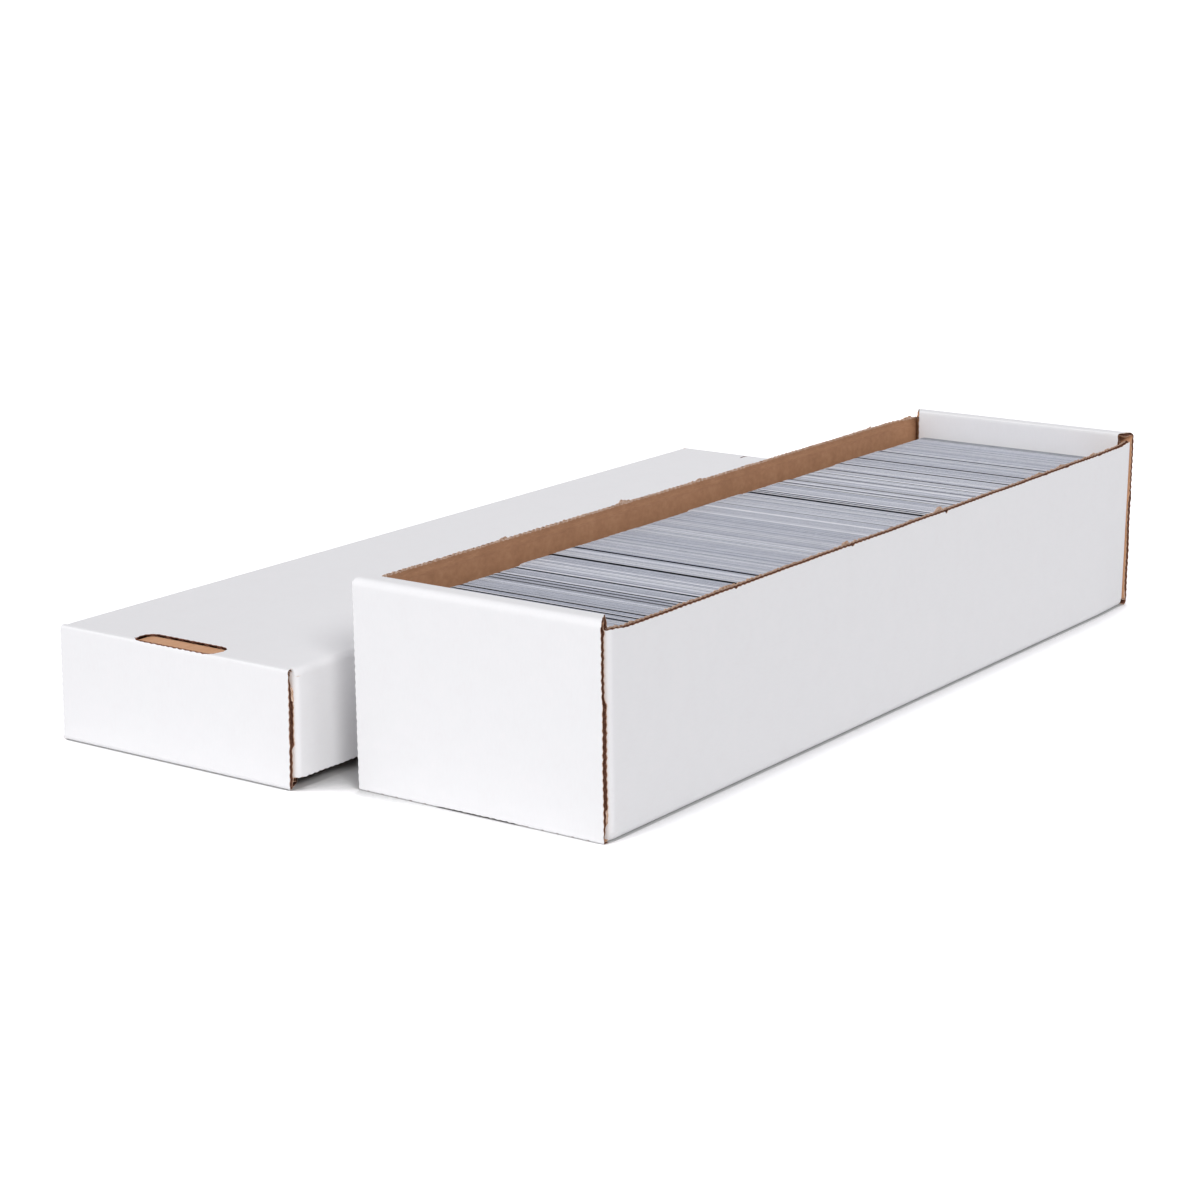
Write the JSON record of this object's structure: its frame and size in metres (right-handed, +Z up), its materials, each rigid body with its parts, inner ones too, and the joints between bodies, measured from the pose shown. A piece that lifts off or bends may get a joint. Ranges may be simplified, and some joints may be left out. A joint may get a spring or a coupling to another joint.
{
  "type": "trading card storage box",
  "caption": "Long corrugated-board tray full of trading cards standing on their long edges, with rolled ends and tab locks, and its telescoping lift-off lid lying open side down beside it.",
  "frame": {"origin": "centre of the tray's underside, on the surface that it stands on", "axes": "+X to the right along the tray's front end, +Y from its front end to its rear end, +Z up; the lid lies on the -X side"},
  "size_m": [0.2413, 0.4254, 0.078],
  "materials": {
    "white_board": "white-lined corrugated board, smooth and matt",
    "kraft_board": "bare brown kraft liner, matt",
    "card_stock": "cut edges of coated card stock"
  },
  "bodies": {
    "tray": {"tray_bottom_panel": "white_board", "tray_left_wall": "white_board", "tray_right_wall": "white_board", "tray_front_left_flap": "kraft_board", "tray_front_right_flap": "kraft_board", "tray_front_outer_end": "white_board", "tray_front_rim_strip": "white_board", "tray_front_inner_end": "white_board", "tray_rear_left_flap": "kraft_board", "tray_rear_right_flap": "kraft_board", "tray_rear_outer_end": "white_board", "tray_rear_rim_strip": "white_board", "tray_rear_inner_end": "white_board"},
    "lid": {"lid_top_panel": "white_board", "lid_left_wall": "white_board", "lid_right_wall": "white_board", "lid_front_left_flap": "kraft_board", "lid_front_right_flap": "kraft_board", "lid_front_outer_end": "white_board", "lid_front_rim_strip": "white_board", "lid_front_inner_end": "white_board", "lid_rear_left_flap": "kraft_board", "lid_rear_right_flap": "kraft_board", "lid_rear_outer_end": "white_board", "lid_rear_rim_strip": "white_board", "lid_rear_inner_end": "white_board"},
    "card_pack_01_body": {"card_pack_01": "card_stock"},
    "card_pack_02_body": {"card_pack_02": "card_stock"},
    "card_pack_03_body": {"card_pack_03": "card_stock"},
    "card_pack_04_body": {"card_pack_04": "card_stock"},
    "card_pack_05_body": {"card_pack_05": "card_stock"},
    "card_pack_06_body": {"card_pack_06": "card_stock"},
    "card_pack_07_body": {"card_pack_07": "card_stock"},
    "card_pack_08_body": {"card_pack_08": "card_stock"},
    "card_pack_09_body": {"card_pack_09": "card_stock"},
    "card_pack_10_body": {"card_pack_10": "card_stock"}
  },
  "joints": [
    {"name": "lid_lift", "type": "slide", "parent": "tray", "child": "lid", "axis": [0, 0, 1], "range_m": [0, 0.085]},
    {"name": "card_pack_01_lift", "type": "slide", "parent": "tray", "child": "card_pack_01_body", "axis": [0, 0, 1], "range_m": [0, 0.078]},
    {"name": "card_pack_02_lift", "type": "slide", "parent": "tray", "child": "card_pack_02_body", "axis": [0, 0, 1], "range_m": [0, 0.078]},
    {"name": "card_pack_03_lift", "type": "slide", "parent": "tray", "child": "card_pack_03_body", "axis": [0, 0, 1], "range_m": [0, 0.078]},
    {"name": "card_pack_04_lift", "type": "slide", "parent": "tray", "child": "card_pack_04_body", "axis": [0, 0, 1], "range_m": [0, 0.078]},
    {"name": "card_pack_05_lift", "type": "slide", "parent": "tray", "child": "card_pack_05_body", "axis": [0, 0, 1], "range_m": [0, 0.078]},
    {"name": "card_pack_06_lift", "type": "slide", "parent": "tray", "child": "card_pack_06_body", "axis": [0, 0, 1], "range_m": [0, 0.078]},
    {"name": "card_pack_07_lift", "type": "slide", "parent": "tray", "child": "card_pack_07_body", "axis": [0, 0, 1], "range_m": [0, 0.078]},
    {"name": "card_pack_08_lift", "type": "slide", "parent": "tray", "child": "card_pack_08_body", "axis": [0, 0, 1], "range_m": [0, 0.078]},
    {"name": "card_pack_09_lift", "type": "slide", "parent": "tray", "child": "card_pack_09_body", "axis": [0, 0, 1], "range_m": [0, 0.078]},
    {"name": "card_pack_10_lift", "type": "slide", "parent": "tray", "child": "card_pack_10_body", "axis": [0, 0, 1], "range_m": [0, 0.078]}
  ]
}
